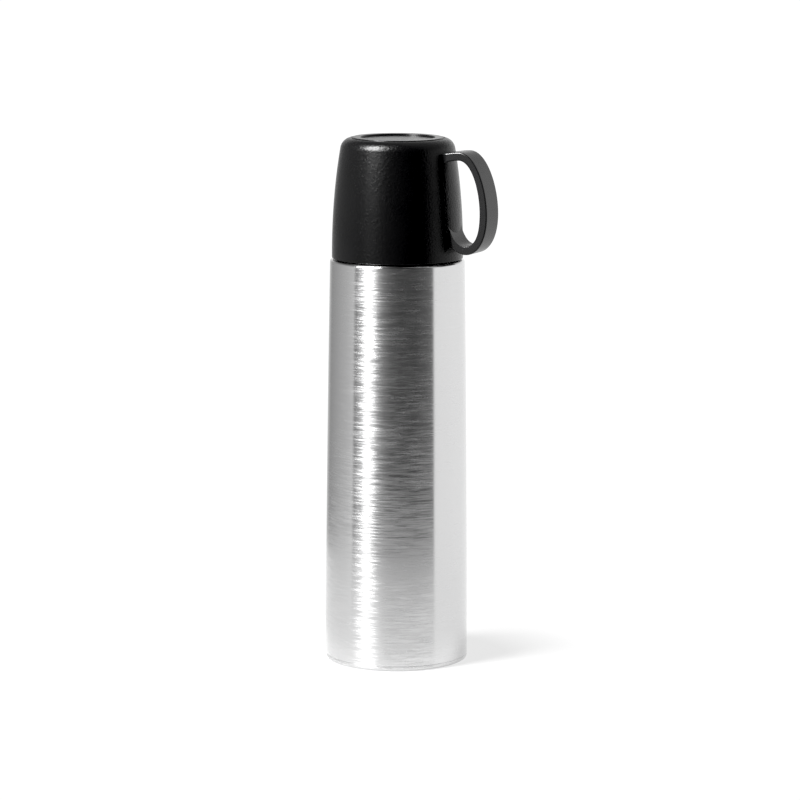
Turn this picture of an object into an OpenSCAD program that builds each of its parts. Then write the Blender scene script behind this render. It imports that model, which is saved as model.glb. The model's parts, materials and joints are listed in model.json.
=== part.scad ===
// Vacuum flask with a screw-on drinking cup and a press-to-pour stopper.
// The origin is the centre of the ring the flask stands on. +Z is up and the cup's handle is along +X.

/* [Body] */
// Height of the steel body, floor to shoulder
body_h = 198; // [188:1:230]
// Radius of the body at the floor
base_r = 35; // [34.6:0.1:36]
// Straight part of the body's narrowing, floor to shoulder
body_draft = 0.9; // [0.4:0.1:1.4]
// Curved part of the body's narrowing, floor to shoulder
body_belly = 1.2; // [0.6:0.1:1.6]
// Thickness of the steel sheet
steel = 0.6; // [0.5:0.05:0.7]
// Rounding of the body's shoulder
shoulder_round = 1.2; // [1:0.1:2.4]
// Rounding of the bottom edge
base_round = 1.5; // [1:0.1:2]
// Height of the neck above the shoulder
neck_h = 18; // [17:0.5:20]

/* [Cup] */
// Height of the cup, rim to foot
cup_h = 59; // [58:0.2:66]
// Outer radius of the cup at its rim
cup_r = 32; // [31.8:0.1:32.6]
// How much narrower the cup is where its rounded corner begins
cup_draft = 4.1; // [3.4:0.1:4.6]
// Rounding of the cup's corner
cup_round = 5.8; // [4.5:0.1:6.5]
// Outer radius of the raised foot ring
foot_r = 22.2; // [21:0.2:23.4]
// Inner radius of the raised foot ring
foot_recess_r = 18; // [15:0.2:19]
// Depth of the recess inside the foot ring
foot_recess = 0.9; // [0.6:0.1:2.4]

/* [Handle] */
// Width of the handle's band
handle_w = 14.5; // [10:0.5:18]
// Furthest reach of the handle from the flask's axis
handle_reach = 50.5; // [46:0.5:58]
// Thickness of the band at its furthest reach
handle_band = 3.4; // [2.6:0.1:4.5]

/* [Threads] */
// Rise of the cup's thread in one turn
cup_lead = 12; // [11:0.5:13]
// Rise of the stopper's thread in one turn
plug_lead = 8; // [7.5:0.25:8.5]

/* [Stopper] */
// Inner radius of the mouth
mouth_r = 24.1; // [23.8:0.1:24.4]
// Radius of the pour button
button_r = 12.6; // [10:0.2:14]
// How far the pour button travels
button_travel = 4; // [2.5:0.5:4.5]
// Number of grip flutes around the stopper's collar
flutes = 24; // [12:1:30]

/* [Hidden] */
$fn = 96;

// Steel body
seam_z = 2.4;
seam_chamfer = 0.2;
shoulder_z = body_h - shoulder_round;
neck_r = cup_r - 4;
neck_fillet = 0.6;
lip_z = body_h + neck_h;
lip_round = 1.5;
stand_r = 27;
stand_recess = 1.6;
plate_z = 8;
plate_gap = 0.05;
plate_skirt = 4;
dimple = 2;
dimple_r = 5;
hole_r = 1.2;
bead_r = 3.6;
bead_drop = 1.6;
getter_r = 4.6;
getter_wall = 0.6;
getter_h = 2;
getter_tab = 3;
getter_sheet = 0.4;
pellet_h = 1.8;
pellet_r = 4.5;

// Inner vessel
vessel_wall = 0.5;
vessel_r = base_r - 5.4;
vessel_z = 12;
vessel_corner = 8;
vessel_bend = 5;
vessel_neck_r = mouth_r + vessel_wall;
vessel_bend_a = acos(1 - (vessel_r - vessel_neck_r) / (2 * vessel_bend));
vessel_shoulder_z = body_h - 18;
foil_gap = 0.1;
foil_wall = 0.15;

// Cup
rim_gap = 0.6;
rim_z = body_h + rim_gap;
rim_round = 0.7;
top_z = rim_z + cup_h;
cup_wall = 1.5;
rim_wall = 2.1;
rim_band = 14.6;
band_slope = 0.6;
liner_wall = 1;
liner_gap = 0.6;
liner_corner = 5;
liner_edge = 1.3;
liner_edge_h = 1.2;
turn_gap = 0.3;
corner_tilt = 10;
corner_drop = 0.3;
corner_h = cup_h - corner_drop - cup_round * (1 - sin(corner_tilt));
draft_power = 2.2;
foot_step = 0.9;

// Stopper
gasket_h = 1.4;
flange_z = lip_z + gasket_h;
flange_h = 2;
flange_r = neck_r - 1.6;
collar_z = flange_z + flange_h;
collar_h = 11.6;
collar_r = 26.2;
collar_top_r = 24.6;
collar_wall = 2;
flute_r = 1.1;
window_w = 14;
window_h = 4.6;
window_sill = 1.2;
plug_r = mouth_r - 1.9;
plug_wall = 1.4;
plug_h = 23;
plug_z = lip_z - plug_h;
plug_base_h = 1.4;
foam_gap = 0.2;
passage_r = 8;
passage_wall = 1.2;
hub_r = 3.6;
hub_h = 6;
hub_z = lip_z;
rib_w = 2;
guide_z = collar_z + 2.6;
guide_wall = 1.2;
weld = 0.5;
stem_r = 2;
stem_fit = 0.08;
press_fit = 0.02;
stem_top_z = hub_z + 13;
seat_r = 6.6;
seal_h = 1.2;
poppet_h = 1.8;
nut_h = 1.4;
nut_r = 3.6;
nut_z = plug_z - seal_h - poppet_h - nut_h;
button_z = collar_z + collar_h + 3.5;
skirt_z = collar_z + button_travel + 0.6;
boss_z = hub_z + button_travel + 2;
button_cap = 2.5;
button_wall = 1.4;
button_bore = 0.4;
dish = 0.9;
dish_r = 60;
spring_r = 5.5;
spring_wire = 0.5;
spring_turns = 6;

// Threads
thread_starts = 2;
thread_bury = 0.3;
neck_tooth = 1.25;
cup_tooth = 1.4;
mouth_tooth = 1.35;
plug_tooth = 1.3;
cup_thread_z = body_h + 4.4;
plug_thread_z = lip_z - 10;
thread_step = 12;
cup_tooth_root = 2.6;
cup_tooth_crest = 1.2;
plug_tooth_root = 1.7;
plug_tooth_crest = 0.8;

function body_r(z) = base_r - body_draft * z / body_h - body_belly * pow(z / body_h, 2);
function arc(cx, cy, r, a0, a1, n = 8) =
    [for (i = [0:n]) let (a = a0 + (a1 - a0) * i / n) [cx + r * cos(a), cy + r * sin(a)]];
function reversed(p) = [for (i = [len(p) - 1:-1:0]) p[i]];
function bezier(a, b, c, d, n = 14) =
    [for (i = [0:n]) let (t = i / n, s = 1 - t)
        a * s * s * s + 3 * b * s * s * t + 3 * c * s * t * t + d * t * t * t];

// Outside of the cup's wall at height h above its rim, inset by w.
function cup_wall_r(h, w = 0) = cup_r - cup_draft * pow(max(h, 0) / corner_h, draft_power) - w;

// Sheet between a path and the same path inset by its thickness.
module sheet(outer, inner) {
    rotate_extrude() polygon(concat(outer, reversed(inner)));
}

module ring(r_in, r_out, z0, z1) {
    rotate_extrude() translate([r_in, z0]) square([r_out - r_in, z1 - z0]);
}

// One helical tooth, swept through an angle, with ends that run out. The crest is at r_crest and
// the root is buried in the wall at r_root.
module tooth(r_root, r_crest, w_root, w_crest, z, lead, sweep, from) {
    n = ceil(sweep / thread_step);
    points = [
        for (i = [0:n])
            let (
                a = from + sweep * i / n,
                c = z + lead * sweep * i / n / 360,
                s = min(1, 0.35 + 0.65 * min(i, n - i) / 2),
                r = r_root + (r_crest - r_root) * s
            )
            each [
                [r_root * cos(a), r_root * sin(a), c - w_root / 2],
                [r * cos(a), r * sin(a), c - w_crest / 2],
                [r * cos(a), r * sin(a), c + w_crest / 2],
                [r_root * cos(a), r_root * sin(a), c + w_root / 2]
            ]
    ];
    sides = [for (i = [0:n - 1]) for (k = [0:3])
        let (k2 = (k + 1) % 4) [4 * i + k, 4 * i + k2, 4 * (i + 1) + k2, 4 * (i + 1) + k]];
    faces = concat([[3, 2, 1, 0]], sides, [[for (k = [0:3]) 4 * n + k]]);
    outward = r_crest > r_root;
    polyhedron(points, outward ? faces : [for (f = faces) reversed(f)]);
}

module thread(r_root, r_crest, w_root, w_crest, z, lead, sweep) {
    for (s = [0:thread_starts - 1])
        tooth(r_root, r_crest, w_root, w_crest, z, lead, sweep, s * 360 / thread_starts);
}

// Outside of the steel shell, inset by w.
function shell_path(w) = concat(
    [for (i = [0:12]) let (z = seam_z + seam_chamfer + (shoulder_z - seam_z - seam_chamfer) * i / 12)
        [body_r(z) - w, z]],
    arc(body_r(shoulder_z) - shoulder_round, shoulder_z, shoulder_round - w, 15, 90, 5),
    arc(neck_r + neck_fillet, body_h + neck_fillet, neck_fillet + w, 270, 180, 4),
    arc(neck_r - lip_round, lip_z - lip_round, lip_round - w, 0, 90, 6),
    [[vessel_neck_r, lip_z - w]]
);

module outer_shell() {
    color("silver") {
        sheet(
            concat([[body_r(seam_z) - seam_chamfer, seam_z]], shell_path(0)),
            concat([[body_r(seam_z) - steel, seam_z]], shell_path(steel))
        );
        thread(
            neck_r - thread_bury, neck_r + neck_tooth, cup_tooth_root, cup_tooth_crest,
            cup_thread_z, cup_lead, 240
        );
    }
}

// Underside of the base cap, inset by w.
function cap_path(w) = concat(
    [[0, stand_recess + w], [stand_r - 2, stand_recess + w], [stand_r, w]],
    arc(base_r - base_round, base_round, base_round - w, -90, 0, 8)
);

module base_cap() {
    color("silver") sheet(
        concat(
            cap_path(0),
            [[body_r(seam_z), seam_z - seam_chamfer], [body_r(seam_z) - seam_chamfer, seam_z]]
        ),
        concat(cap_path(steel), [[body_r(seam_z) - steel, seam_z]])
    );
}

module vacuum_base() {
    flange = body_r(plate_z) - steel - plate_gap;
    color("lightgrey") sheet(
        [
            [hole_r, plate_z - dimple],
            [dimple_r, plate_z - dimple],
            [dimple_r + dimple, plate_z],
            [flange - steel - 1, plate_z],
            [flange - steel, plate_z - 1],
            [flange - steel, plate_z - plate_skirt]
        ],
        [
            [hole_r, plate_z - dimple + steel],
            [dimple_r - 0.2, plate_z - dimple + steel],
            [dimple_r + dimple - 0.2, plate_z + steel],
            [flange - steel - 0.8, plate_z + steel],
            [flange, plate_z - 0.8],
            [flange, plate_z - plate_skirt]
        ]
    );
}

module seal_bead() {
    sunk_z = plate_z - dimple;
    color("darkgrey") rotate_extrude() polygon(concat(
        arc(0, sunk_z + bead_r - bead_drop, bead_r, -90, -34, 8),
        [[hole_r - press_fit, sunk_z], [hole_r - press_fit, sunk_z + steel], [0, sunk_z + steel]]
    ));
}

// Outside of the inner vessel, inset by w.
function vessel_path(w) = concat(
    [[0, vessel_z + w]],
    arc(vessel_r - vessel_corner, vessel_z + vessel_corner, vessel_corner - w, -90, 0, 10),
    arc(vessel_r - vessel_bend, vessel_shoulder_z, vessel_bend - w, 0, vessel_bend_a, 8),
    arc(
        vessel_neck_r + vessel_bend, vessel_shoulder_z + 2 * vessel_bend * sin(vessel_bend_a),
        vessel_bend + w, 180 + vessel_bend_a, 180, 8
    ),
    [[vessel_neck_r - w, lip_z]]
);

module inner_vessel() {
    color("gainsboro") {
        sheet(vessel_path(0), vessel_path(vessel_wall));
        thread(
            mouth_r + thread_bury, mouth_r - mouth_tooth, plug_tooth_root, plug_tooth_crest,
            plug_thread_z, plug_lead, 240
        );
    }
}

module copper_foil() {
    color("peru") ring(
        vessel_r + foil_gap, vessel_r + foil_gap + foil_wall,
        vessel_z + vessel_corner + 2, vessel_shoulder_z - 2
    );
}

module getter_clip() {
    color("lightgrey") {
        ring(getter_r, getter_r + getter_wall, vessel_z - getter_h, vessel_z);
        for (a = [0:120:240])
            rotate(a) translate([getter_r + getter_sheet, -getter_h / 2, vessel_z - getter_sheet])
                cube([getter_tab, getter_h, getter_sheet]);
    }
}

module getter_pellet() {
    color("dimgrey") translate([0, 0, vessel_z - pellet_h]) cylinder(r = pellet_r, h = pellet_h);
}

// Outside of the cup's shell from the rim to the edge of the foot ring.
corner_r = cup_wall_r(corner_h) - cup_round * cos(corner_tilt);
foot_edge_r = foot_r + 0.3;
function cup_side() = concat(
    arc(cup_r - rim_round, rim_z + rim_round, rim_round, -90, 0, 5),
    [for (i = [1:16]) let (h = rim_round + (corner_h - rim_round) * i / 16) [cup_wall_r(h), rim_z + h]],
    arc(
        corner_r, rim_z + corner_h - cup_round * sin(corner_tilt),
        cup_round, corner_tilt + 6, acos((foot_edge_r - corner_r) / cup_round), 12
    )
);

function cup_foot() = [
    [foot_edge_r - 0.05, top_z - foot_step],
    [foot_r, top_z - foot_step + 0.1],
    [foot_r - 0.1, top_z - 0.4],
    [foot_r - 0.5, top_z],
    [foot_recess_r + 0.4, top_z],
    [foot_recess_r + 0.1, top_z - 0.3],
    [foot_recess_r, top_z - foot_recess],
    [0, top_z - foot_recess]
];

// Inside of the cup's shell, from the centre of its ceiling down to the rim.
shell_top_z = top_z - foot_recess - cup_wall;
shell_corner = 5;
shell_corner_h = shell_top_z - shell_corner - rim_z;
function cup_inside() = concat(
    [[0, shell_top_z]],
    arc(
        cup_wall_r(shell_corner_h, cup_wall) - shell_corner, shell_top_z - shell_corner,
        shell_corner, 90, 9, 8
    ),
    [for (i = [10:-1:0])
        let (h = rim_band + band_slope + (shell_corner_h - rim_band - band_slope) * i / 10)
        [cup_wall_r(h, cup_wall), rim_z + h]],
    [
        [cup_r - rim_wall, rim_z + rim_band],
        [cup_r - rim_wall, rim_z + 0.5],
        [cup_r - rim_wall + 0.5, rim_z]
    ]
);

module cup_shell() {
    color([0.08, 0.08, 0.09]) {
        rotate_extrude() polygon(concat(cup_side(), cup_foot(), cup_inside()));
        thread(
            cup_r - rim_wall + thread_bury, cup_r - rim_wall - cup_tooth,
            cup_tooth_root, cup_tooth_crest,
            cup_thread_z + cup_lead / thread_starts / 2, cup_lead, 180
        );
    }
}

// Outline of the handle's loop: top, outermost and bottom points joined by curves.
grip_top = rim_z + 53.5;
grip_low = rim_z + 4;
grip_mid = rim_z + 23.1;
function handle_outer() = concat(
    [[24, grip_top - 1.2], [28.5, grip_top - 0.8]],
    bezier([28.5, grip_top - 0.8], [30.8, grip_top - 0.5], [33, grip_top], [35.7, grip_top], 6),
    bezier(
        [35.7, grip_top], [44.2, grip_top],
        [handle_reach, grip_mid + 14], [handle_reach, grip_mid], 22
    ),
    bezier(
        [handle_reach, grip_mid], [handle_reach, grip_mid - 11.3],
        [46, grip_low], [39, grip_low], 16
    ),
    bezier([39, grip_low], [36, grip_low], [34, grip_low + 2.2], [29, grip_low + 3], 8)
);
inner_reach = handle_reach - handle_band;
function handle_inner() = concat(
    [[24, grip_top - 5.6], [29, grip_top - 4.5]],
    bezier(
        [29, grip_top - 4.5], [31, grip_top - 3.8],
        [33.5, grip_top - 3.5], [35.6, grip_top - 3.5], 6
    ),
    bezier(
        [35.6, grip_top - 3.5], [42.5, grip_top - 3.5],
        [inner_reach, grip_mid + 12.5], [inner_reach, grip_mid + 0.6], 20
    ),
    bezier(
        [inner_reach, grip_mid + 0.6], [inner_reach, grip_mid - 9.8],
        [44.3, grip_low + 3.9], [38.8, grip_low + 3.9], 14
    ),
    bezier(
        [38.8, grip_low + 3.9], [35.2, grip_low + 3.9],
        [32.6, grip_low + 6.6], [31, grip_low + 12], 10
    ),
    [[29, grip_low + 12]]
);

module cup_handle() {
    color([0.1, 0.1, 0.11]) difference() {
        rotate([90, 0, 0]) linear_extrude(handle_w, center = true)
            polygon(concat(handle_outer(), reversed(handle_inner())));
        rotate_extrude() polygon(concat([[0, rim_z]], cup_side(), [[0, top_z - foot_step]]));
    }
}

// Inside of the cup's liner, grown by w.
liner_top_z = shell_top_z - 1 - liner_wall;
liner_z = rim_z + rim_band + 0.9;
liner_inset = cup_wall + liner_gap + liner_wall;
function liner_path(w) = concat(
    [for (i = [0:10])
        let (h = liner_z - rim_z + (liner_top_z - liner_corner - liner_z) * i / 10)
        [cup_wall_r(h, liner_inset - w), rim_z + h]],
    arc(
        cup_wall_r(liner_top_z - liner_corner - rim_z, liner_inset) - liner_corner,
        liner_top_z - liner_corner, liner_corner + w, 9, 90, 8
    ),
    [[0, liner_top_z + w]]
);

module cup_liner() {
    edge = cup_wall_r(liner_z - rim_z, cup_wall + turn_gap);
    color([0.12, 0.12, 0.13]) {
        sheet(liner_path(0), liner_path(liner_wall));
        ring(edge - liner_edge, edge, liner_z, liner_z + liner_edge_h);
    }
}

module stopper_gasket() {
    color("whitesmoke") difference() {
        ring(plug_r + 0.4, flange_r, lip_z, flange_z);
        translate([0, 0, lip_z + gasket_h / 2]) rotate_extrude()
            translate([flange_r + 0.2, 0]) circle(r = 0.5);
    }
}

module stopper_body() {
    color([0.09, 0.09, 0.1]) {
        ring(plug_r - plug_wall, plug_r, plug_z + plug_base_h, flange_z + weld);
        ring(passage_r, passage_r + passage_wall, plug_z + plug_base_h, flange_z + weld);
        ring(passage_r, flange_r, flange_z, collar_z);
        difference() {
            union() {
                translate([0, 0, hub_z - hub_h]) cylinder(r = hub_r, h = hub_h);
                for (a = [30:120:270])
                    rotate(a) translate([0, -rib_w / 2, hub_z - hub_h])
                        cube([passage_r + weld, rib_w, hub_h]);
            }
            translate([0, 0, hub_z - hub_h - 1]) cylinder(r = stem_r + stem_fit, h = hub_h + 2);
        }
        thread(
            plug_r - thread_bury, plug_r + plug_tooth, plug_tooth_root, plug_tooth_crest,
            plug_thread_z - plug_lead / thread_starts / 2, plug_lead, 210
        );
    }
}

module stopper_foam() {
    color("khaki") ring(
        passage_r + passage_wall + foam_gap, plug_r - plug_wall - foam_gap,
        plug_z + plug_base_h + foam_gap, flange_z - foam_gap
    );
}

module plug_base() {
    color([0.09, 0.09, 0.1]) rotate_extrude() polygon([
        [seat_r, plug_z],
        [plug_r - 0.6, plug_z],
        [plug_r, plug_z + 0.6],
        [plug_r, plug_z + plug_base_h],
        [seat_r, plug_z + plug_base_h]
    ]);
}

module stopper_collar() {
    bore = button_r + button_bore;
    top = collar_z + collar_h;
    color([0.1, 0.1, 0.11]) difference() {
        rotate_extrude() polygon([
            [collar_r, collar_z],
            [collar_top_r, top - 1.5],
            [collar_top_r - 0.5, top - 0.4],
            [collar_top_r - 1.6, top],
            [bore + 0.4, top],
            [bore, top - 0.4],
            [bore, guide_z],
            [bore + guide_wall, guide_z],
            [bore + guide_wall, top - collar_wall],
            [collar_top_r - collar_wall - 0.4, top - collar_wall],
            [collar_r - collar_wall, collar_z]
        ]);
        for (i = [0:flutes - 1])
            rotate(360 * i / flutes) translate([collar_r + 0.3, 0, collar_z - 1])
                cylinder(r = flute_r, h = collar_h + 2);
        for (a = [90, 270])
            rotate(a) translate([bore + guide_wall + 0.8, -window_w / 2, collar_z + window_sill])
                cube([collar_r, window_w, window_h]);
    }
}

module pour_button() {
    color([0.16, 0.16, 0.17]) difference() {
        rotate_extrude() polygon([
            [0, button_z - button_cap],
            [button_r - button_wall, button_z - button_cap],
            [button_r - button_wall, skirt_z],
            [button_r, skirt_z],
            [button_r, button_z - 0.8],
            [button_r - 0.25, button_z - 0.25],
            [button_r - 0.8, button_z],
            [0, button_z]
        ]);
        translate([0, 0, button_z + dish_r - dish]) sphere(r = dish_r, $fn = 200);
    }
    color([0.16, 0.16, 0.17]) difference() {
        translate([0, 0, boss_z]) cylinder(r = hub_r, h = button_z - button_cap - boss_z + weld);
        translate([0, 0, boss_z - 1]) cylinder(r = stem_r + press_fit, h = stem_top_z + 2 - boss_z);
    }
}

module valve_stem() {
    color("silver") translate([0, 0, nut_z]) cylinder(r = stem_r, h = stem_top_z - nut_z);
}

module poppet() {
    color([0.85, 0.85, 0.83]) ring(stem_r + press_fit, seat_r + 1.6, nut_z + nut_h, plug_z - seal_h);
}

module poppet_seal() {
    color("whitesmoke") ring(stem_r + press_fit, seat_r + 1.3, plug_z - seal_h, plug_z);
}

module stem_nut() {
    color("silver") difference() {
        translate([0, 0, nut_z]) cylinder(r = nut_r, h = nut_h, $fn = 6);
        translate([0, 0, nut_z - 1]) cylinder(r = stem_r + press_fit, h = nut_h + 2);
    }
}

// Round wire swept along a helix between the hub and the button.
module button_spring() {
    z0 = hub_z + spring_wire;
    rise = button_z - button_cap - spring_wire - z0;
    n = spring_turns * 14;
    sides = 8;
    points = [for (i = [0:n]) let (a = 360 * spring_turns * i / n) for (k = [0:sides - 1])
        let (b = 360 * k / sides, r = spring_r + spring_wire * cos(b))
        [r * cos(a), r * sin(a), z0 + rise * i / n + spring_wire * sin(b)]];
    faces = concat(
        [[for (k = [sides - 1:-1:0]) k]],
        [for (i = [0:n - 1]) for (k = [0:sides - 1])
            let (k2 = (k + 1) % sides, a = sides * i, b = a + sides) [a + k2, b + k2, b + k, a + k]],
        [[for (k = [0:sides - 1]) sides * n + k]]
    );
    color("silver") polyhedron(points, faces);
}

outer_shell();
base_cap();
vacuum_base();
seal_bead();
inner_vessel();
copper_foil();
getter_clip();
getter_pellet();
cup_shell();
cup_handle();
cup_liner();
stopper_gasket();
stopper_body();
stopper_foam();
plug_base();
stopper_collar();
pour_button();
valve_stem();
poppet();
poppet_seal();
stem_nut();
button_spring();
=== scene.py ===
"""Looks for the vacuum flask: fine meshes, materials, studio and camera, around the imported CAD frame."""

import json
import math

import bpy
from mathutils import Matrix, Vector


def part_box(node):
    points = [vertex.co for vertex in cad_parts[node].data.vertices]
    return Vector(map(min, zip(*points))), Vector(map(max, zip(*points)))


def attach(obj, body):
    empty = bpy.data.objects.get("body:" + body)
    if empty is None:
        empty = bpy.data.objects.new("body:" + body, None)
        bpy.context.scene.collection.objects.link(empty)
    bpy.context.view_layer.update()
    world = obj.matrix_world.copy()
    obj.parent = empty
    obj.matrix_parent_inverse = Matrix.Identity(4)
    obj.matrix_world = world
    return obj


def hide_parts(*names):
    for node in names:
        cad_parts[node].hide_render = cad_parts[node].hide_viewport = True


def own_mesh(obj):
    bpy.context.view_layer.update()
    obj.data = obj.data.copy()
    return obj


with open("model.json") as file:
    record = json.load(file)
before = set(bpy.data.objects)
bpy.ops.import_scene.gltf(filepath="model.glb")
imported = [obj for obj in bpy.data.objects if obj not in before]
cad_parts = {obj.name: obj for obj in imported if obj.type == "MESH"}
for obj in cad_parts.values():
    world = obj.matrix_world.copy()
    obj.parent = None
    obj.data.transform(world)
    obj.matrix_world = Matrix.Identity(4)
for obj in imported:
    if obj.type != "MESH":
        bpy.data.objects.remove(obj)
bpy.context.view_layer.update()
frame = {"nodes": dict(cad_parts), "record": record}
MM = 0.001

# ---------------------------------------------------------------- sizes, from the CAD boxes
SHELL_LOW, SHELL_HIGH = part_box("outer_shell")
CUP_LOW, CUP_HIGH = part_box("cup_shell")
GRIP_LOW, GRIP_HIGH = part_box("cup_handle")
VESSEL_LOW, VESSEL_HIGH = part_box("inner_vessel")
LINER_LOW, LINER_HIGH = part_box("cup_liner")
SPRING_LOW, SPRING_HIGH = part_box("button_spring")

BASE_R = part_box("base_cap")[1].x
LIP_Z = SHELL_HIGH.z
NECK_H = 18 * MM
BODY_H = LIP_Z - NECK_H
NECK_R = BASE_R - 7 * MM
STEEL = 0.6 * MM
SEAM_Z = SHELL_LOW.z
BODY_DRAFT = 0.9 * MM
BODY_BELLY = 1.2 * MM

CUP_R = CUP_HIGH.x
RIM_Z = CUP_LOW.z
TOP_Z = CUP_HIGH.z
CUP_DRAFT = 4.1 * MM
DRAFT_POWER = 2.2
CORNER_R = 5.8 * MM
CORNER_TILT = math.radians(10)
CORNER_H = TOP_Z - RIM_Z - 0.3 * MM - CORNER_R * (1 - math.sin(CORNER_TILT))
CUP_WALL = 1.5 * MM

THREAD_BURY = 0.3 * MM
CUP_TOOTH_ROOT = 2.6 * MM
CUP_TOOTH_CREST = 1.2 * MM
CUP_LEAD = 12 * MM

AROUND = 224
SHARP_ANGLE = math.radians(38)


# ---------------------------------------------------------------- outline helpers
def arc(cx, cz, radius, start, end, steps=8):
    """Points on an arc in the (radius, height) plane, angles in degrees."""
    angles = [math.radians(start + (end - start) * i / steps) for i in range(steps + 1)]
    return [(cx + radius * math.cos(a), cz + radius * math.sin(a)) for a in angles]


def bezier(a, b, c, d, steps):
    """Points on a cubic curve."""
    points = []
    for i in range(steps + 1):
        t = i / steps
        s = 1 - t
        points.append(tuple(
            a[k] * s**3 + 3 * b[k] * s * s * t + 3 * c[k] * s * t * t + d[k] * t**3 for k in (0, 1)
        ))
    return points


def rounded(corners, steps=5):
    """Closed outline from (radius, height, fillet) corners, each fillet an arc between its two edges."""
    points = []
    for i, (x, z, fillet) in enumerate(corners):
        here = Vector((x, z))
        before = Vector(corners[i - 1][:2]) - here
        after = Vector(corners[(i + 1) % len(corners)][:2]) - here
        if fillet <= 0:
            points.append((x, z))
            continue
        half = before.angle(after) / 2
        reach = min(fillet / math.tan(half), 0.48 * before.length, 0.48 * after.length)
        radius = reach * math.tan(half)
        middle = here + (before.normalized() + after.normalized()).normalized() * radius / math.sin(half)
        first = here + before.normalized() * reach - middle
        last = here + after.normalized() * reach - middle
        turn = first.angle_signed(last)
        for k in range(steps + 1):
            a = -turn * k / steps
            points.append((
                middle.x + first.x * math.cos(a) - first.y * math.sin(a),
                middle.y + first.x * math.sin(a) + first.y * math.cos(a),
            ))
    return points


def body_r(z):
    """Radius of the steel body at height z."""
    t = z / BODY_H
    return BASE_R - BODY_DRAFT * t - BODY_BELLY * t * t


def cup_wall_r(height, inset=0.0):
    """Radius of the cup at a height above its rim."""
    return CUP_R - CUP_DRAFT * (max(height, 0) / CORNER_H) ** DRAFT_POWER - inset


# ---------------------------------------------------------------- mesh helpers
def add_object(name, vertices, faces):
    mesh = bpy.data.meshes.new(name)
    mesh.from_pydata(vertices, [], faces)
    mesh.validate()
    mesh.shade_smooth()
    mesh.set_sharp_from_angle(angle=SHARP_ANGLE)
    piece = bpy.data.objects.new(name, mesh)
    bpy.context.scene.collection.objects.link(piece)
    even = piece.modifiers.new("even_normals", "WEIGHTED_NORMAL")
    even.keep_sharp = True
    return piece


def lathe_parts(outline):
    """Vertices and faces of a closed outline turned about the Z axis."""
    vertices, rings, faces = [], [], []
    for r, z in outline:
        if r < 1e-7:
            rings.append([len(vertices)] * AROUND)
            vertices.append((0.0, 0.0, z))
        else:
            rings.append([len(vertices) + k for k in range(AROUND)])
            vertices += [
                (r * math.cos(2 * math.pi * k / AROUND), r * math.sin(2 * math.pi * k / AROUND), z)
                for k in range(AROUND)
            ]
    for i, ring in enumerate(rings):
        after = rings[(i + 1) % len(rings)]
        for k in range(AROUND):
            n = (k + 1) % AROUND
            corners = [ring[k], ring[n], after[n], after[k]]
            face = [c for j, c in enumerate(corners) if c != corners[j - 1]]
            if len(face) >= 3:
                faces.append(face)
    return vertices, faces


def area_of(outline):
    """Signed area of a closed outline: positive when it runs anticlockwise."""
    return sum(
        outline[i - 1][0] * outline[i][1] - outline[i][0] * outline[i - 1][1] for i in range(len(outline))
    ) / 2


def clean(outline):
    """The outline running anticlockwise, with no two neighbouring points in one place."""
    points = [p for i, p in enumerate(outline) if math.dist(p, outline[i - 1]) > 1e-7]
    return points if area_of(points) > 0 else points[::-1]


def sweep_parts(sections, first=0):
    """Vertices and faces of closed sections joined in a row; the vertices are numbered from first."""
    count = len(sections[0])
    vertices = [p for section in sections for p in section]
    faces = [[first + k for k in range(count)][::-1]]
    for i in range(len(sections) - 1):
        for k in range(count):
            n = (k + 1) % count
            faces.append([first + j for j in (
                i * count + k, i * count + n, (i + 1) * count + n, (i + 1) * count + k
            )])
    faces.append([first + (len(sections) - 1) * count + k for k in range(count)])
    return vertices, faces


def tooth_sections(r_root, r_crest, w_root, w_crest, z, lead, sweep, start):
    """Sections of one helical thread ridge whose ends run out into the wall."""
    steps = int(sweep / 5)
    out = 1 if r_crest > r_root else -1
    sections = []
    for i in range(steps + 1):
        a = math.radians(start + sweep * i / steps)
        centre = z + lead * sweep * i / steps / 360
        ease = min(1.0, min(i, steps - i) / 5)
        height = (r_crest - r_root) * (0.3 + 0.7 * ease * ease * (3 - 2 * ease))
        shape = [
            (0, -w_root / 2),
            (height * 0.82, -w_crest / 2 - 0.18 * (w_root - w_crest) / 2),
            (height, -w_crest / 2 + 0.1 * w_crest),
            (height, w_crest / 2 - 0.1 * w_crest),
            (height * 0.82, w_crest / 2 + 0.18 * (w_root - w_crest) / 2),
            (0, w_root / 2),
        ]
        if out < 0:
            shape = shape[::-1]
        sections.append([
            ((r_root + dr) * math.cos(a), (r_root + dr) * math.sin(a), centre + dz) for dr, dz in shape
        ])
    return sections


def finish_piece(piece, body, slot, node):
    """Gives a piece its slot's material and its body, and hides the CAD node it stands for."""
    piece.data.materials.append(MATERIALS[slot])
    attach(piece, body)
    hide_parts(node)
    return piece


def lathe(name, outline, body, slot, node, teeth=None):
    """A turned piece, with the two starts of its thread if it has one."""
    vertices, faces = lathe_parts(clean(outline))
    if teeth:
        for start in (0, 180):
            more, sides = sweep_parts(tooth_sections(*teeth, start), len(vertices))
            vertices += more
            faces += sides
    return finish_piece(add_object(name, vertices, faces), body, slot, node)


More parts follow.
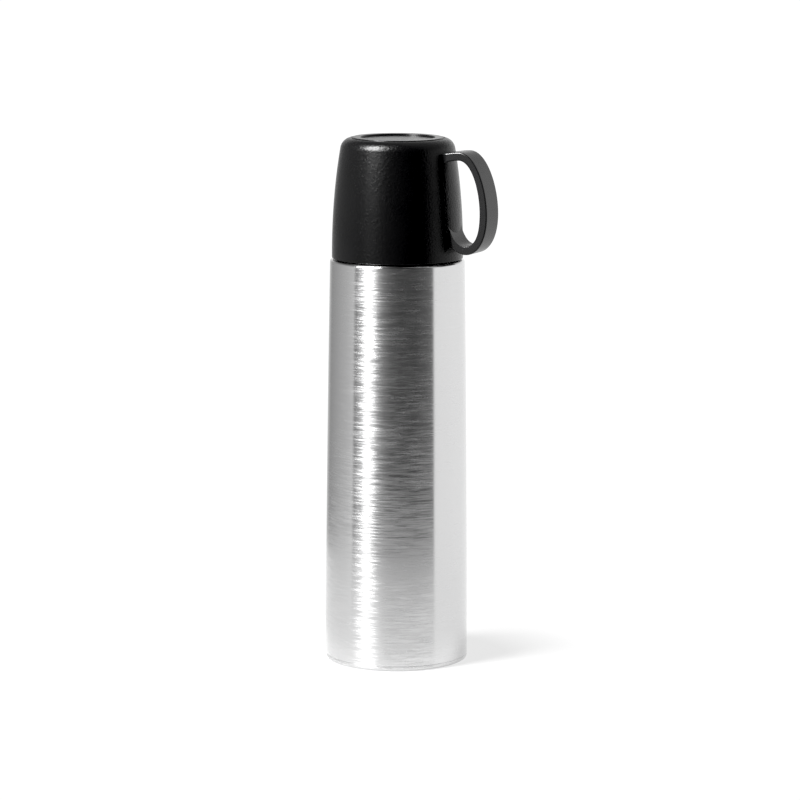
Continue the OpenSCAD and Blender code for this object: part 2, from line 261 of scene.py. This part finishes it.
# ---------------------------------------------------------------- material helpers
class Nodes:
    """A short way to write a node tree."""

    def __init__(self, tree):
        self.tree = tree
        self.tree.nodes.clear()

    def add(self, kind, **settings):
        node = self.tree.nodes.new(kind)
        for key, value in settings.items():
            setattr(node, key, value)
        return node

    def join(self, out, into):
        self.tree.links.new(out, into)

    def coordinates(self, scale):
        place = self.add("ShaderNodeTexCoord")
        mapping = self.add("ShaderNodeMapping")
        mapping.inputs["Scale"].default_value = scale
        self.join(place.outputs["Object"], mapping.inputs["Vector"])
        return mapping.outputs["Vector"]

    def from_axis(self):
        """Distance from the flask's axis."""
        node = self.add("ShaderNodeVectorMath", operation="LENGTH")
        self.join(self.coordinates((1, 1, 0)), node.inputs[0])
        return node.outputs["Value"]

    def noise(self, scale, detail=3.0, roughness=0.5):
        node = self.add("ShaderNodeTexNoise")
        node.inputs["Scale"].default_value = 1.0
        node.inputs["Detail"].default_value = detail
        node.inputs["Roughness"].default_value = roughness
        self.join(self.coordinates(scale), node.inputs["Vector"])
        return node.outputs["Fac"]

    def remap(self, value, low, high, from_low=0.3, from_high=0.7):
        node = self.add("ShaderNodeMapRange")
        node.inputs["From Min"].default_value = from_low
        node.inputs["From Max"].default_value = from_high
        node.inputs["To Min"].default_value = low
        node.inputs["To Max"].default_value = high
        self.join(value, node.inputs["Value"])
        return node.outputs["Result"]

    def mix_colour(self, factor, first, second):
        node = self.add("ShaderNodeMix", data_type="RGBA")
        node.inputs[6].default_value = (*first, 1)
        node.inputs[7].default_value = (*second, 1)
        self.join(factor, node.inputs[0])
        return node.outputs[2]

    def maths(self, operation, first, second):
        node = self.add("ShaderNodeMath", operation=operation)
        for socket, value in zip(node.inputs, (first, second)):
            if isinstance(value, (int, float)):
                socket.default_value = value
            else:
                self.join(value, socket)
        return node.outputs[0]

    def bump(self, height, distance):
        node = self.add("ShaderNodeBump")
        node.inputs["Distance"].default_value = distance
        node.inputs["Strength"].default_value = 1.0
        self.join(height, node.inputs["Height"])
        return node.outputs["Normal"]


def surface(name, metallic=0.0, **constants):
    """A new material with a Principled surface, and constants set on the shader's own sockets."""
    material = bpy.data.materials.new(name)
    material.use_nodes = True
    n = Nodes(material.node_tree)
    output = n.add("ShaderNodeOutputMaterial")
    shader = n.add("ShaderNodeBsdfPrincipled")
    shader.inputs["Metallic"].default_value = metallic
    for key, value in constants.items():
        shader.inputs[key.replace("_", " ")].default_value = value
    n.join(shader.outputs["BSDF"], output.inputs["Surface"])
    return material, n, shader


def shades(n, shader, factor, dark, light):
    n.join(n.mix_colour(factor, dark, light), shader.inputs["Base Color"])


def brushed_steel(name, tone, roughness, spread):
    """Steel brushed round its axis: fine streaks, and highlights drawn out along the axis."""
    material, n, shader = surface(name, metallic=1.0, Anisotropic=spread, Anisotropic_Rotation=0.25)
    tangent = n.add("ShaderNodeTangent", direction_type="RADIAL", axis="Z")
    n.join(tangent.outputs["Tangent"], shader.inputs["Tangent"])
    fine = n.noise((110, 110, 1900), detail=2, roughness=0.6)
    band = n.noise((60, 60, 700), detail=2)
    cloud = n.noise((24, 24, 20), detail=2)
    streak = n.maths("ADD", n.maths("MULTIPLY", fine, 0.7), n.maths("MULTIPLY", band, 0.3))
    shades(n, shader, n.remap(streak, 0, 1), tuple(c * 0.97 for c in tone), tuple(c * 1.03 for c in tone))
    scratch = n.remap(streak, -0.08, 0.08, 0.35, 0.65)
    rough = n.maths("ADD", scratch, n.remap(cloud, roughness - 0.015, roughness + 0.015))
    n.join(rough, shader.inputs["Roughness"])
    n.join(n.bump(streak, 0.0000011), shader.inputs["Normal"])
    return material


def plain_metal(name, tone, roughness, scale=220.0, depth=0.00001, patch=0.1):
    """Metal with a fine grain, slight stains and uneven polish."""
    material, n, shader = surface(name, metallic=1.0)
    grain = n.noise((scale, scale, scale), detail=5, roughness=0.6)
    stain = n.noise((40, 40, 40), detail=3)
    shades(n, shader, n.remap(stain, 0, 1), tuple(c * (1 - patch) for c in tone), tone)
    n.join(n.remap(grain, roughness - 0.06, roughness + 0.08), shader.inputs["Roughness"])
    n.join(n.bump(grain, depth), shader.inputs["Normal"])
    return material


def moulded(name, tone, roughness, grain=900.0, depth=0.00003, fleck=0.15, sheen=0.5, smooth_r=0.0):
    """Moulded plastic: a spark-eroded texture, slightly uneven gloss and faint rubbed patches.

    Nearer the axis than smooth_r the texture fades out.
    """
    material, n, shader = surface(name, Specular_IOR_Level=sheen)
    coarse = n.noise((grain, grain, grain), detail=3, roughness=0.55)
    fine = n.noise((grain * 2.7, grain * 2.7, grain * 2.7), detail=2)
    rub = n.noise((34, 34, 34), detail=4, roughness=0.6)
    light = tuple(c * (1 + fleck) + 0.001 for c in tone)
    shades(n, shader, n.remap(rub, 0, 1), tone, light)
    texture = n.maths("ADD", n.maths("MULTIPLY", coarse, 0.7), n.maths("MULTIPLY", fine, 0.3))
    rough = n.maths("ADD", n.remap(texture, -0.05, 0.05), n.remap(rub, roughness + 0.03, roughness - 0.03))
    n.join(rough, shader.inputs["Roughness"])
    if smooth_r:
        shown = n.remap(n.from_axis(), 0.06, 1, smooth_r, smooth_r * 1.04)
        texture = n.maths("MULTIPLY", texture, shown)
    n.join(n.bump(texture, depth), shader.inputs["Normal"])
    return material


def silicone(name):
    material, n, shader = surface(
        name, Subsurface_Weight=0.25, Subsurface_Scale=0.002, Specular_IOR_Level=0.4
    )
    cloud = n.noise((160, 160, 160), detail=3)
    shades(n, shader, n.remap(cloud, 0, 1), (0.62, 0.62, 0.59), (0.74, 0.74, 0.71))
    n.join(n.remap(cloud, 0.42, 0.55), shader.inputs["Roughness"])
    n.join(n.bump(n.noise((1500, 1500, 1500), detail=2), 0.00001), shader.inputs["Normal"])
    return material


def foam(name):
    material, n, shader = surface(name, Specular_IOR_Level=0.2)
    cell = n.add("ShaderNodeTexVoronoi")
    cell.inputs["Scale"].default_value = 1.0
    n.join(n.coordinates((1400, 1400, 1400)), cell.inputs["Vector"])
    shades(n, shader, n.remap(cell.outputs["Distance"], 0, 1, 0, 0.8), (0.78, 0.70, 0.48), (0.6, 0.52, 0.33))
    n.join(n.remap(cell.outputs["Distance"], 0.75, 0.95, 0, 0.8), shader.inputs["Roughness"])
    n.join(n.bump(cell.outputs["Distance"], 0.0002), shader.inputs["Normal"])
    return material


def copper_foil(name):
    material, n, shader = surface(name, metallic=1.0)
    crease = n.noise((90, 90, 60), detail=5, roughness=0.65)
    shades(n, shader, n.remap(crease, 0, 1), (0.76, 0.38, 0.24), (0.93, 0.56, 0.40))
    n.join(n.remap(crease, 0.16, 0.34), shader.inputs["Roughness"])
    n.join(n.bump(crease, 0.0004), shader.inputs["Normal"])
    return material


MATERIALS = {
    "brushed_body": brushed_steel("brushed_body", (0.665, 0.665, 0.667), 0.2, 0.93),
    "brushed_base": brushed_steel("brushed_base", (0.65, 0.65, 0.652), 0.24, 0.9),
    "plain_steel": plain_metal("plain_steel", (0.58, 0.58, 0.58), 0.33),
    "vessel_steel": plain_metal("vessel_steel", (0.68, 0.68, 0.68), 0.2, depth=0.000004, patch=0.05),
    "seal_glass": moulded("seal_glass", (0.2, 0.22, 0.24), 0.25, grain=500, depth=0.00002, fleck=0.4),
    "copper": copper_foil("copper"),
    "getter_metal": plain_metal("getter_metal", (0.2, 0.2, 0.2), 0.7, scale=1800, depth=0.00005, patch=0.4),
    "cup_black": moulded(
        "cup_black", (0.0018, 0.0018, 0.0019), 0.24, grain=850, depth=0.0002, sheen=0.2, smooth_r=0.0216,
    ),
    "handle_black": moulded(
        "handle_black", (0.004, 0.004, 0.0042), 0.25, grain=1100, depth=0.00003, sheen=0.35,
    ),
    "liner_black": moulded("liner_black", (0.010, 0.010, 0.0105), 0.24, grain=1500, depth=0.000006),
    "stopper_black": moulded("stopper_black", (0.010, 0.010, 0.0105), 0.34, grain=1200, depth=0.00001),
    "collar_black": moulded("collar_black", (0.009, 0.009, 0.0095), 0.42, grain=1000, depth=0.00004),
    "button_grey": moulded("button_grey", (0.045, 0.045, 0.047), 0.4, grain=1000, depth=0.00003),
    "poppet_white": moulded("poppet_white", (0.7, 0.7, 0.67), 0.3, grain=700, depth=0.00001, fleck=0.04),
    "silicone": silicone("silicone"),
    "foam": foam("foam"),
    "spring_steel": plain_metal("spring_steel", (0.6, 0.6, 0.61), 0.22, scale=900, depth=0.000004),
}


def finish_cad_nodes():
    """Every CAD node that still shows takes its slot's material."""
    for part in frame["record"]["subparts"]:
        node = frame["nodes"][part["node"]]
        node.data.materials.clear()
        node.data.materials.append(MATERIALS[part["material_slot"]])


# ---------------------------------------------------------------- flask
def shell_path(inset):
    """Side, shoulder and neck of the steel shell, moved inwards by inset."""
    wall_low = SEAM_Z + 0.2 * MM
    shoulder = 1.2 * MM
    fillet = 0.6 * MM
    lip = 1.5 * MM
    wall_high = BODY_H - shoulder
    wall = [wall_low + (wall_high - wall_low) * i / 40 for i in range(41)]
    return (
        [(body_r(z) - inset, z) for z in wall]
        + arc(body_r(wall_high) - shoulder, wall_high, shoulder - inset, 8, 90, 9)
        + arc(NECK_R + fillet, BODY_H + fillet, fillet + inset, 270, 180, 6)
        + arc(NECK_R - lip, LIP_Z - lip, lip - inset, 0, 90, 8)
    )


def make_body():
    seam_r = body_r(SEAM_Z)
    mouth = 24.62 * MM
    outline = (
        [(seam_r - 0.12 * MM, SEAM_Z), (seam_r - 0.03 * MM, SEAM_Z + 0.03 * MM)]
        + shell_path(0)
        + [(mouth, LIP_Z), (mouth, LIP_Z - STEEL)]
        + shell_path(STEEL)[::-1]
        + [(seam_r - STEEL, SEAM_Z)]
    )
    neck_teeth = (
        NECK_R - THREAD_BURY, NECK_R + 1.25 * MM, CUP_TOOTH_ROOT, CUP_TOOTH_CREST,
        BODY_H + 4.4 * MM, CUP_LEAD, 240,
    )
    lathe("body_steel", outline, "flask", "brushed_body", "outer_shell", neck_teeth)


def make_base():
    edge = 1.5 * MM
    rise = 1.6 * MM
    stand = 27 * MM
    seam_r = body_r(SEAM_Z)

    def path(inset):
        panel = bezier(
            (stand - 3 * MM, rise + inset), (stand - 1.4 * MM, rise + inset),
            (stand - 1 * MM, inset), (stand + 0.6 * MM, inset), 10,
        )
        return [(0, rise + inset)] + panel + arc(BASE_R - edge, edge, edge - inset, -90, 0, 10)

    outline = (
        path(0)
        + [(seam_r, SEAM_Z - 0.12 * MM), (seam_r - 0.03 * MM, SEAM_Z - 0.05 * MM)]
        + [(seam_r - 0.14 * MM, SEAM_Z), (seam_r - STEEL, SEAM_Z)]
        + path(STEEL)[::-1]
    )
    lathe("base_steel", outline, "flask", "brushed_base", "base_cap")


def make_vessel():
    wall = 0.5 * MM
    radius = VESSEL_HIGH.x
    low = VESSEL_LOW.z
    corner = 8 * MM
    bend = 5 * MM
    neck = 24.6 * MM
    shoulder = BODY_H - 18 * MM
    tilt = math.acos(1 - (radius - neck) / (2 * bend))
    lean = math.degrees(tilt)

    def path(inset):
        return (
            [(0, low + inset)]
            + arc(radius - corner, low + corner, corner - inset, -90, 0, 14)
            + arc(radius - bend, shoulder, bend - inset, 0, lean, 10)
            + arc(neck + bend, shoulder + 2 * bend * math.sin(tilt), bend + inset, 180 + lean, 180, 10)
            + [(neck - inset, LIP_Z - 0.15 * MM), (neck - inset, LIP_Z)]
        )

    mouth_r = neck - wall
    teeth = (mouth_r + THREAD_BURY, mouth_r - 1.35 * MM, 1.7 * MM, 0.8 * MM, LIP_Z - 10 * MM, 8 * MM, 240)
    lathe("drink_vessel", path(0) + path(wall)[::-1], "flask", "vessel_steel", "inner_vessel", teeth)


# ---------------------------------------------------------------- cup
def cup_outside():
    """The cup's rim, side and rounded corner, upwards."""
    rim_round = 0.7 * MM
    wall = [rim_round + (CORNER_H - rim_round) * i / 44 for i in range(1, 45)]
    corner_x = cup_wall_r(CORNER_H) - CORNER_R * math.cos(CORNER_TILT)
    corner_z = RIM_Z + CORNER_H - CORNER_R * math.sin(CORNER_TILT)
    return (
        arc(CUP_R - rim_round, RIM_Z + rim_round, rim_round, -90, 0, 6)
        + [(cup_wall_r(h), RIM_Z + h) for h in wall]
        + arc(corner_x, corner_z, CORNER_R, 13, 78, 16)
    )


def make_cup():
    foot_r = 22.2 * MM
    recess_r = 18 * MM
    recess = 0.9 * MM
    band = 14.6 * MM
    rim_r = CUP_R - 2.1 * MM
    edge = 0.6 * MM
    corner = 5 * MM
    ceiling = TOP_Z - recess - CUP_WALL
    wall_top = ceiling - corner - RIM_Z
    foot = rounded([
        (foot_r + 0.3 * MM, TOP_Z - 0.95 * MM, 0),
        (foot_r, TOP_Z - 0.85 * MM, 0.1 * MM),
        (foot_r - 0.15 * MM, TOP_Z, 0.35 * MM),
        (recess_r + 0.15 * MM, TOP_Z, 0.3 * MM),
        (recess_r, TOP_Z - recess, 0.12 * MM),
        (0, TOP_Z - recess, 0),
    ])
    inside = (
        [(0, ceiling)]
        + arc(cup_wall_r(wall_top, CUP_WALL) - corner, ceiling - corner, corner, 90, 6, 12)
        + [
            (cup_wall_r(h, CUP_WALL), RIM_Z + h)
            for h in [band + edge + (wall_top - band - edge) * i / 20 for i in range(20, -1, -1)]
        ]
        + [(rim_r, RIM_Z + band), (rim_r, RIM_Z + edge)]
        + arc(rim_r + edge, RIM_Z + edge, edge, 180, 262, 5)
    )
    teeth = (
        rim_r + THREAD_BURY, rim_r - 1.4 * MM, CUP_TOOTH_ROOT, CUP_TOOTH_CREST,
        BODY_H + 10.4 * MM, CUP_LEAD, 180,
    )
    lathe("cup_outer", cup_outside() + foot + inside, "cup", "cup_black", "cup_shell", teeth)


def make_liner():
    inset = CUP_WALL + 1.6 * MM
    wall = 1 * MM
    top = LINER_HIGH.z - wall
    corner = 5 * MM
    low = LINER_LOW.z
    high = top - corner

    def path(grow):
        heights = [low - RIM_Z + (high - low) * i / 20 for i in range(21)]
        return (
            [(cup_wall_r(h, inset - grow), RIM_Z + h) for h in heights]
            + arc(cup_wall_r(high - RIM_Z, inset) - corner, high, corner + grow, 6, 90, 14)
            + [(0, top + grow)]
        )

    edge = cup_wall_r(low - RIM_Z, CUP_WALL + 0.3 * MM)
    flange = 1.2 * MM
    bevel = 0.1 * MM
    outline = (
        path(0) + path(wall)[::-1][:-2]
        + [(edge - bevel, low + flange), (edge, low + flange - bevel)]
        + [(edge, low + bevel), (edge - bevel, low)]
    )
    lathe("cup_inner", outline, "cup_carrier", "liner_black", "cup_liner")


def resample(points, count):
    """count + 1 points evenly spaced along a path."""
    lengths = [0.0]
    for i in range(1, len(points)):
        lengths.append(lengths[-1] + math.dist(points[i - 1], points[i]))
    result, i = [], 0
    for k in range(count + 1):
        want = lengths[-1] * k / count
        while i < len(points) - 2 and lengths[i + 1] < want:
            i += 1
        t = (want - lengths[i]) / (lengths[i + 1] - lengths[i])
        result.append(tuple(a + (b - a) * t for a, b in zip(points[i], points[i + 1])))
    return result


def handle_paths():
    """Outside and inside of the handle's loop in the XZ plane, from the upper root to the lower."""
    top = GRIP_HIGH.z
    low = GRIP_LOW.z
    reach = GRIP_HIGH.x
    middle = low + 19.1 * MM
    inner = reach - 3.4 * MM

    def at(x, z):
        return (x * MM, z)

    outside = (
        [at(26.6, top - 0.95 * MM)]
        + bezier(at(28.5, top - 0.8 * MM), at(30.8, top - 0.5 * MM), at(33, top), at(35.7, top), 12)
        + bezier(at(35.7, top), at(44.2, top), (reach, middle + 14 * MM), (reach, middle), 60)
        + bezier((reach, middle), (reach, middle - 11.3 * MM), at(46, low), at(39, low), 50)
        + bezier(at(39, low), at(36, low), at(34, low + 2.2 * MM), at(30.5, low + 2.9 * MM), 14)
    )
    brow = top - 3.5 * MM
    sill = low + 3.9 * MM
    inside = (
        [at(26.6, top - 5.4 * MM)]
        + bezier(at(29, top - 4.5 * MM), at(31, top - 3.8 * MM), at(33.5, brow), at(35.6, brow), 12)
        + bezier(at(35.6, brow), at(42.5, brow), (inner, middle + 12.5 * MM), (inner, middle + 0.6 * MM), 60)
        + bezier((inner, middle + 0.6 * MM), (inner, middle - 9.8 * MM), at(44.3, sill), at(38.8, sill), 50)
        + bezier(at(38.8, sill), at(35.2, sill), at(32.6, low + 6.6 * MM), at(30.6, low + 13 * MM), 20)
    )
    return outside, inside


def make_handle():
    stations = 150
    width = GRIP_HIGH.y - GRIP_LOW.y
    extra = 0.6 * MM
    outside, inside = (resample(path, stations) for path in handle_paths())
    edge = 0.75 * MM
    sections = []
    for i, (a, b) in enumerate(zip(outside, inside)):
        root = min(i, stations - i) / stations
        flare = 1.1 * MM * max(0.0, 1 - root / 0.035) ** 2
        out = Vector((a[0], 0, a[1]))
        along = Vector((b[0], 0, b[1])) - out
        thick = along.length + extra
        along.normalize()
        half = width / 2 + flare
        shape = rounded([
            (-half, 0, edge), (half, 0, edge), (half, thick, edge * 0.9), (-half, thick, edge * 0.9),
        ], 5)
        sections.append([tuple(out + along * t + Vector((0, y, 0))) for y, t in shape])
    vertices, faces = sweep_parts([section[::-1] for section in sections])
    finish_piece(add_object("cup_grip", vertices, faces), "cup", "handle_black", "cup_handle")


# ---------------------------------------------------------------- stopper
def make_spring():
    """The button's spring: a round wire wound upwards."""
    turns = 6
    steps = turns * 28
    sides = 12
    wire = 0.5 * MM
    radius = SPRING_HIGH.x - wire
    low = SPRING_LOW.z + wire
    high = SPRING_HIGH.z - wire
    sections = []
    for i in range(steps + 1):
        a = 2 * math.pi * turns * i / steps
        z = low + (high - low) * i / steps
        section = []
        for k in range(sides):
            b = 2 * math.pi * k / sides
            r = radius + wire * math.cos(b)
            section.append((r * math.cos(a), r * math.sin(a), z + wire * math.sin(b)))
        sections.append(section)
    piece = add_object("spring_wire", *sweep_parts(sections))
    finish_piece(piece, "stopper", "spring_steel", "button_spring")
    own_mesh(piece)


# ---------------------------------------------------------------- stage, light and camera
VIEW_AZIMUTH = math.radians(25)
VIEW_DISTANCE = 1.8
VIEW_HEIGHT = 0.4163
VIEW_PITCH = math.radians(9.09)
VIEW_SIDEWAYS = 0.00147
VIEW_ROLL = 0.0033
LENS = 167.2
SENSOR = 36

# The floor glows with painted light: between these radii its glow rises from dim to full and its lit share
# fades out, so it takes a faint shadow only near the flask.
SHADE_NEAR = 0.055
SHADE_FAR = 0.1

TO_CAMERA = Vector((math.sin(VIEW_AZIMUTH), -math.cos(VIEW_AZIMUTH), 0))
TO_RIGHT = Vector((math.cos(VIEW_AZIMUTH), math.sin(VIEW_AZIMUTH), 0))


def make_camera():
    data = bpy.data.cameras.new("camera")
    data.lens = LENS
    data.sensor_width = SENSOR
    camera = bpy.data.objects.new("camera", data)
    camera.location = TO_CAMERA * VIEW_DISTANCE + TO_RIGHT * VIEW_SIDEWAYS + Vector((0, 0, VIEW_HEIGHT))
    turn = (
        Matrix.Rotation(VIEW_AZIMUTH, 3, "Z")
        @ Matrix.Rotation(math.pi / 2 - VIEW_PITCH, 3, "X")
        @ Matrix.Rotation(VIEW_ROLL, 3, "Z")
    )
    camera.rotation_euler = turn.to_euler()
    bpy.context.scene.collection.objects.link(camera)
    bpy.context.scene.camera = camera


def make_floor():
    radius = 0.3
    around = 96
    level = -0.2 * MM
    vertices = [
        (radius * math.cos(2 * math.pi * k / around), radius * math.sin(2 * math.pi * k / around), level)
        for k in range(around)
    ]
    mesh = bpy.data.meshes.new("floor")
    mesh.from_pydata(vertices, [], [list(range(around))])
    floor = bpy.data.objects.new("floor", mesh)
    bpy.context.scene.collection.objects.link(floor)
    # Painted light: the floor glows though it is no lamp, dimmer near the flask and brighter further out,
    # which fades its shadow with distance.
    material, n, shader = surface("floor_painted_glow", Specular_IOR_Level=0.0)
    shader.inputs["Roughness"].default_value = 0.9
    shader.inputs["Emission Color"].default_value = (1, 1, 1, 1)
    away = n.from_axis()
    n.join(n.remap(away, 0.76, 1.02, SHADE_NEAR, SHADE_FAR), shader.inputs["Emission Strength"])
    fade = n.remap(away, 0, 1, SHADE_NEAR, SHADE_FAR)
    n.join(n.mix_colour(fade, (0.12, 0.12, 0.12), (0, 0, 0)), shader.inputs["Base Color"])
    mesh.materials.append(material)


# Brightness round the flask at eye level, as (degrees to the right of the camera, brightness).
SURROUND = [
    (-180, 0.9), (-146, 0.36), (-120, 0.47), (-95, 0.58), (-79, 0.68), (-77, 0.42), (-74, 0.24),
    (-71, 0.31), (-69, 0.38), (-38, 0.4), (-31, 0.3), (-22, 0.19), (-10, 0.11), (5, 0.07), (30, 0.07),
    (50, 0.12), (62, 0.19), (66, 1.05), (110, 1.08), (180, 1.0),
]
# How the surroundings fade with height, as (degrees above the horizon, share).
SURROUND_FADE = [(-90, 1.0), (12, 1.0), (30, 0.5), (90, 0.4)]
# The tall soft light on the left, and the soft box high above it: the share across, and the brightness up.
STRIP_ACROSS = [
    (-180, 0.0), (-65, 0.0), (-60, 0.12), (-56, 0.65), (-52, 1.0), (-47, 0.85), (-42, 0.35), (-33, 0.0),
]
STRIP_UP = [
    (-90, 0.0), (-18, 0.0), (-10, 0.8), (-2, 0.7), (4, 1.0), (10, 2.6), (16, 8.0), (24, 16.0), (34, 0.0),
]
BOX_ACROSS = [(-180, 0.0), (-82, 0.0), (-72, 0.7), (-62, 1.0), (-50, 0.7), (-40, 0.0)]
BOX_UP = [(-90, 0.0), (24, 0.0), (34, 80.0), (56, 110.0), (62, 0.0)]
BRIGHTEST = 110.0
# Brightness that the camera itself sees behind the flask.
BACKDROP = 1.05
BLACK_LEVEL = 0.006


def make_world():
    world = bpy.data.worlds.new("studio")
    bpy.context.scene.world = world
    world.use_nodes = True
    n = Nodes(world.node_tree)
    place = n.add("ShaderNodeTexCoord")

    def along(direction):
        dot = n.add("ShaderNodeVectorMath", operation="DOT_PRODUCT")
        dot.inputs[1].default_value = direction
        n.join(place.outputs["Generated"], dot.inputs[0])
        return dot.outputs["Value"]

    def graph(angle, points):
        """Brightness looked up by an angle in radians, from (degrees, brightness) points."""
        node = n.add("ShaderNodeValToRGB")
        elements = node.color_ramp.elements
        for i, (degrees, value) in enumerate(points):
            spot = (degrees + 180) / 360
            element = elements[i] if i < 2 else elements.new(spot)
            element.position = spot
            element.color = (*([value / BRIGHTEST] * 3), 1)
        n.join(n.maths("ADD", n.maths("MULTIPLY", angle, 0.5 / math.pi), 0.5), node.inputs["Fac"])
        return n.maths("MULTIPLY", node.outputs["Color"], BRIGHTEST)

    turn = n.maths("ARCTAN2", along(TO_RIGHT), along(TO_CAMERA))
    height = n.maths("ARCSINE", along(Vector((0, 0, 1))), 0.0)
    around = n.maths("MULTIPLY", graph(turn, SURROUND), graph(height, SURROUND_FADE))
    strip = n.maths("MULTIPLY", graph(turn, STRIP_ACROSS), graph(height, STRIP_UP))
    box = n.maths("MULTIPLY", graph(turn, BOX_ACROSS), graph(height, BOX_UP))
    path = n.add("ShaderNodeLightPath")
    seen = n.add("ShaderNodeMix", data_type="FLOAT")
    n.join(path.outputs["Is Camera Ray"], seen.inputs[0])
    n.join(n.maths("ADD", around, n.maths("ADD", strip, box)), seen.inputs[2])
    seen.inputs[3].default_value = BACKDROP
    background = n.add("ShaderNodeBackground")
    n.join(seen.outputs[0], background.inputs["Color"])
    output = n.add("ShaderNodeOutputWorld")
    n.join(background.outputs["Background"], output.inputs["Surface"])


def make_studio():
    view = bpy.context.scene.view_settings
    view.view_transform = "Standard"
    view.use_curve_mapping = True
    view.curve_mapping.black_level = (BLACK_LEVEL, BLACK_LEVEL, BLACK_LEVEL)
    make_floor()
    make_world()


make_camera()
finish_cad_nodes()
make_body()
make_base()
make_vessel()
make_cup()
make_liner()
make_handle()
make_spring()
make_studio()
